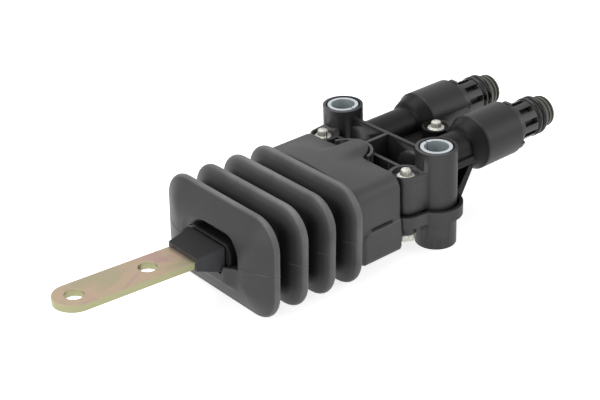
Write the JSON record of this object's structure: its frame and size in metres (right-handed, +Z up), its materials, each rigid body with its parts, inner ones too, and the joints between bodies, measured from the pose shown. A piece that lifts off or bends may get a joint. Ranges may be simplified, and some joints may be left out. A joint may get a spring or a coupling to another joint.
{
  "type": "cab suspension valve",
  "caption": "Cab suspension levelling valve with a steel lever in a rubber bellows, a plastic housing on bushed bosses and parallel push-on air ports.",
  "frame": {"origin": "midway between the two mounting bores, on the mounting plane under the bosses", "axes": "+X from the lever to the air ports, +Y from the near boss to the far boss, +Z up along the mounting bores"},
  "size_m": [0.2129, 0.0696, 0.0401],
  "materials": {
    "housing_plastic": "satin moulded glass-filled nylon",
    "carrier_plastic": "satin moulded nylon",
    "crown_plastic": "satin moulded acetal",
    "port_plastic": "satin grey moulded nylon",
    "boot_rubber": "matte moulded rubber",
    "gasket_rubber": "matte sheet rubber",
    "seal_rubber": "satin rubber",
    "zinc_steel": "bright zinc plated",
    "pin_steel": "ground steel",
    "yellow_zinc_steel": "yellow passivated zinc",
    "valve_brass": "turned"
  },
  "bodies": {
    "housing": {"upper_housing": "housing_plastic", "lower_housing": "housing_plastic", "housing_gasket": "gasket_rubber", "housing_screws": "zinc_steel", "housing_nuts": "zinc_steel", "boot": "boot_rubber", "pivot_pin": "pin_steel", "valve_sleeve": "valve_brass", "valve_spring": "pin_steel", "valve_cap": "housing_plastic", "port_seals": "seal_rubber", "near_mounting_bush": "zinc_steel", "far_mounting_bush": "zinc_steel", "near_port_crown": "crown_plastic", "far_port_crown": "crown_plastic", "near_port_spigot": "port_plastic", "far_port_spigot": "port_plastic"},
    "lever": {"lever_carrier": "carrier_plastic", "lever_strip": "yellow_zinc_steel", "lever_rivets": "zinc_steel"},
    "spool": {"valve_spool": "valve_brass", "spool_seals": "seal_rubber"}
  },
  "joints": [
    {"name": "lever_hinge", "type": "hinge", "parent": "housing", "child": "lever", "pos_m": [-0.0283, 0, 0.0163], "axis": [0, 1, 0], "range_deg": [-15, 12], "stiffness_Nm_per_rad": 0.5, "deforming": ["boot"]},
    {"name": "spool_slide", "type": "slide", "parent": "housing", "child": "spool", "axis": [0, 0, 1], "range_m": [-0.0018, 0.0022], "deforming": ["valve_spring"]}
  ],
  "couplings": [
    {"joint": "spool_slide", "follows": "lever_hinge", "m_per_rad": -0.0079867}
  ]
}
